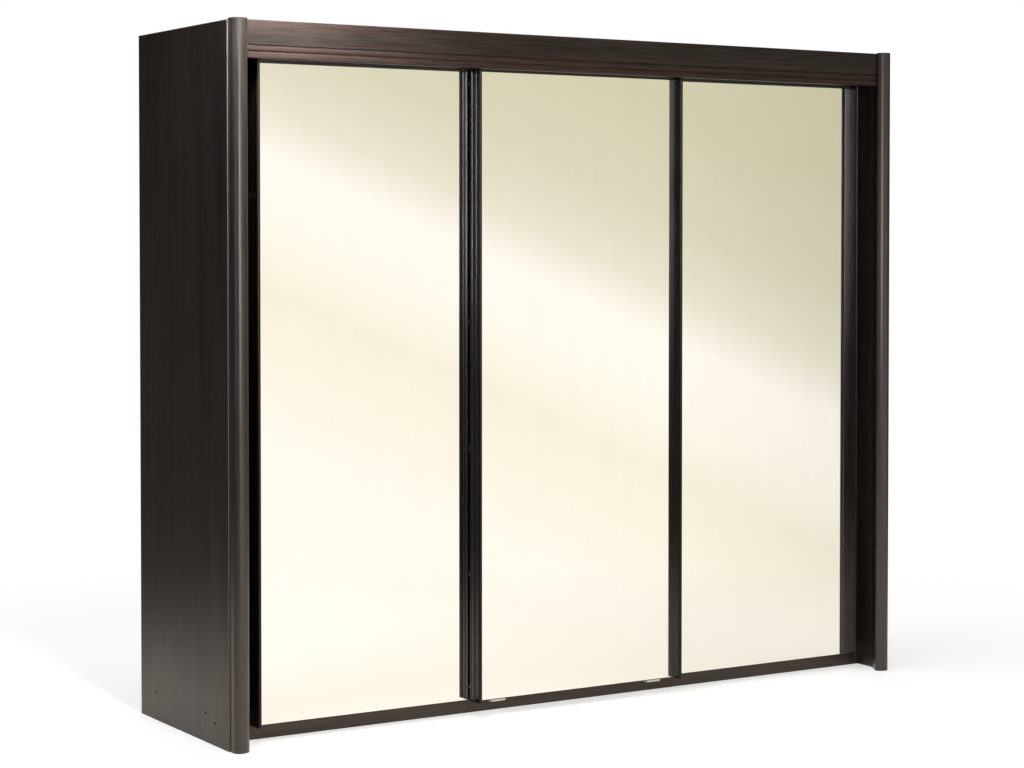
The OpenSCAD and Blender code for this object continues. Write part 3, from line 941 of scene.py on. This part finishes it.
def make_world():
    """The studio that lights the object and shows in its mirrors: plain white to the camera itself."""
    world = bpy.data.worlds.new("studio")
    bpy.context.scene.world = world
    world.use_nodes = True
    tree = world.node_tree
    tree.nodes.clear()
    direction = add(tree, "TexCoord").outputs["Generated"]
    parts = add(tree, "SeparateXYZ", {0: direction})
    dx, dy, dz = (parts.outputs[i] for i in range(3))
    share = wall_share(tree, dx, dy)
    studio = blend_colours(tree, share, studio_round(tree, dz), studio_wall(tree, dx, dy, dz))
    seen = add(tree, "LightPath").outputs["Is Camera Ray"]
    shown = blend_colours(tree, seen, studio, (1.0, 1.0, 1.0, 1.0))
    background = add(tree, "Background", {"Color": shown, "Strength": 1.0})
    output = add(tree, "OutputWorld")
    tree.links.new(background.outputs[0], output.inputs[0])


FLOOR_RADIUS = 3.8


def floor_material():
    """A pale matt floor, creamier in reflections, that fades to clear towards its rim."""
    material, tree, shader = new_material("pale floor")
    seen = add(tree, "LightPath").outputs["Is Camera Ray"]
    tone = blend_colours(tree, seen, (0.86, 0.79, 0.69, 1.0), (0.88, 0.875, 0.865, 1.0))
    glow = blend_colours(tree, seen, (0.46, 0.445, 0.415, 1.0), (0.55, 0.55, 0.55, 1.0))
    tree.links.new(tone, shader.inputs["Base Color"])
    tree.links.new(glow, shader.inputs["Emission Color"])
    shader.inputs["Emission Strength"].default_value = 1.0
    shader.inputs["Roughness"].default_value = 0.7
    clear = add(tree, "BsdfTransparent")
    place = add(tree, "TexCoord").outputs["Object"]
    radius = add(tree, "VectorMath", {0: place}, operation="LENGTH").outputs["Value"]
    fade = add(
        tree,
        "MapRange",
        {"Value": radius, "From Min": 1.5, "From Max": 3.15},
        interpolation_type="SMOOTHSTEP",
    ).outputs["Result"]
    mixed = add(tree, "MixShader", {0: fade, 1: shader.outputs[0], 2: clear.outputs[0]})
    tree.links.new(mixed.outputs[0], tree.nodes["Material Output"].inputs["Surface"])
    return material


def make_floor():
    bm = bmesh.new()
    bmesh.ops.create_circle(bm, cap_ends=True, radius=FLOOR_RADIUS, segments=96)
    mesh = bpy.data.meshes.new("floor")
    bm.to_mesh(mesh)
    bm.free()
    mesh.materials.append(floor_material())
    floor = bpy.data.objects.new("floor", mesh)
    bpy.context.scene.collection.objects.link(floor)


def make_lamp(name, place, target, size, power, spread=180.0, mirrored=True):
    """A softbox that points at a target. One that is not mirrored shows in no reflection."""
    data = bpy.data.lights.new(name, "AREA")
    data.shape = "RECTANGLE"
    data.size, data.size_y = size
    data.energy = power
    data.spread = math.radians(spread)
    lamp = bpy.data.objects.new(name, data)
    lamp.location = place
    lamp.rotation_mode = "QUATERNION"
    lamp.rotation_quaternion = (Vector(target) - Vector(place)).to_track_quat("-Z", "Y")
    lamp.visible_glossy = mirrored
    bpy.context.scene.collection.objects.link(lamp)


make_camera()
make_world()
make_floor()
make_lamp("front softbox", (-1.2, -4.4, 2.05), (-0.9, -0.3, 1.4), (0.55, 2.0), 78.0)
make_lamp("left softbox", (-5.6, -2.6, 1.9), (-0.9, -0.3, 1.3), (0.8, 2.0), 14.0)
make_lamp("corner softbox", (-1.15, -0.72, 2.36), (-1.0, -0.29, 1.93), (0.3, 0.2), 8.0, 84.0, False)
make_lamp("top softbox", (0.0, 0.4, 4.5), (0.0, 0.0, 0.0), (4.0, 3.0), 80.0)
bpy.context.scene.view_settings.view_transform = "Standard"
bpy.context.scene.view_settings.look = "None"
